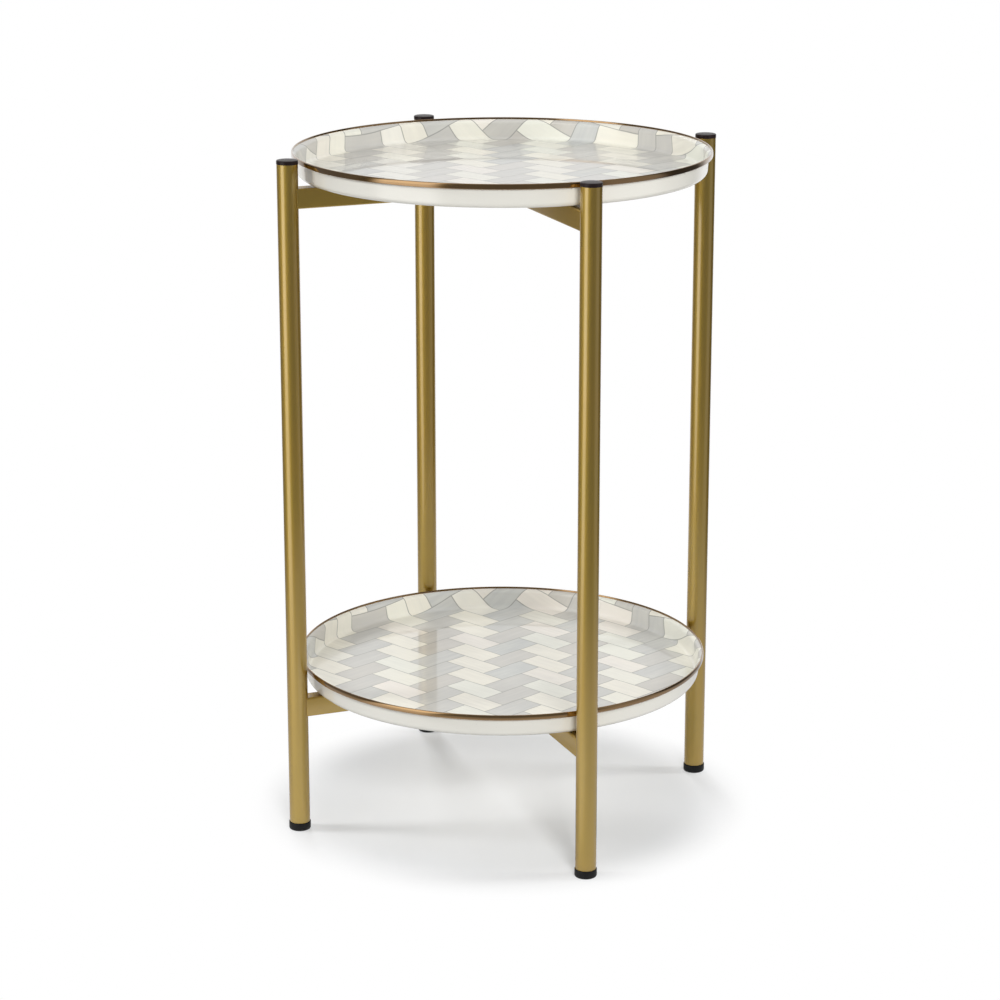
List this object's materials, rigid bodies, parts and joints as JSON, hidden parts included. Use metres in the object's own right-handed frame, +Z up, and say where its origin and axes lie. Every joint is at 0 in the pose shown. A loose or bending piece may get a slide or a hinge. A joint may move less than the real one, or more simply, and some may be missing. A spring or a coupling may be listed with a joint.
{
  "type": "two-tier side table",
  "caption": "Round tiered side table: upright tube legs with cross rails carry shallow enamelled trays with metal rims, which rest loose on pads and lift off.",
  "frame": {"origin": "on the floor, under the middle of the table", "axes": "+Z up, -Y towards the front leg, +X towards the right leg; the legs stand on the X and Y axes"},
  "size_m": [0.4486, 0.4486, 0.6616],
  "materials": {
    "frame_gold": "satin gold-tone coat on steel tube",
    "cap_plastic": "satin black",
    "foot_plastic": "satin black",
    "tray_enamel": "gloss enamel on pressed steel",
    "rim_bronze": "polished bronze tone",
    "pad_rubber": "matt translucent grey"
  },
  "bodies": {
    "frame": {"front_leg": "frame_gold", "front_leg_cap": "cap_plastic", "right_leg": "frame_gold", "right_leg_cap": "cap_plastic", "back_leg": "frame_gold", "back_leg_cap": "cap_plastic", "left_leg": "frame_gold", "left_leg_cap": "cap_plastic", "feet": "foot_plastic", "upper_cross_rail": "frame_gold", "upper_front_rail": "frame_gold", "upper_back_rail": "frame_gold", "upper_rest_pads": "pad_rubber", "lower_cross_rail": "frame_gold", "lower_front_rail": "frame_gold", "lower_back_rail": "frame_gold", "lower_rest_pads": "pad_rubber"},
    "upper_tray": {"upper_tray_pan": "tray_enamel", "upper_tray_rim": "rim_bronze"},
    "lower_tray": {"lower_tray_pan": "tray_enamel", "lower_tray_rim": "rim_bronze"}
  },
  "joints": [
    {"name": "upper_tray_lift", "type": "slide", "parent": "frame", "child": "upper_tray", "axis": [0, 0, 1], "range_m": [0, 0.06]},
    {"name": "lower_tray_lift", "type": "slide", "parent": "frame", "child": "lower_tray", "axis": [0, 0, 1], "range_m": [0, 0.44]}
  ]
}
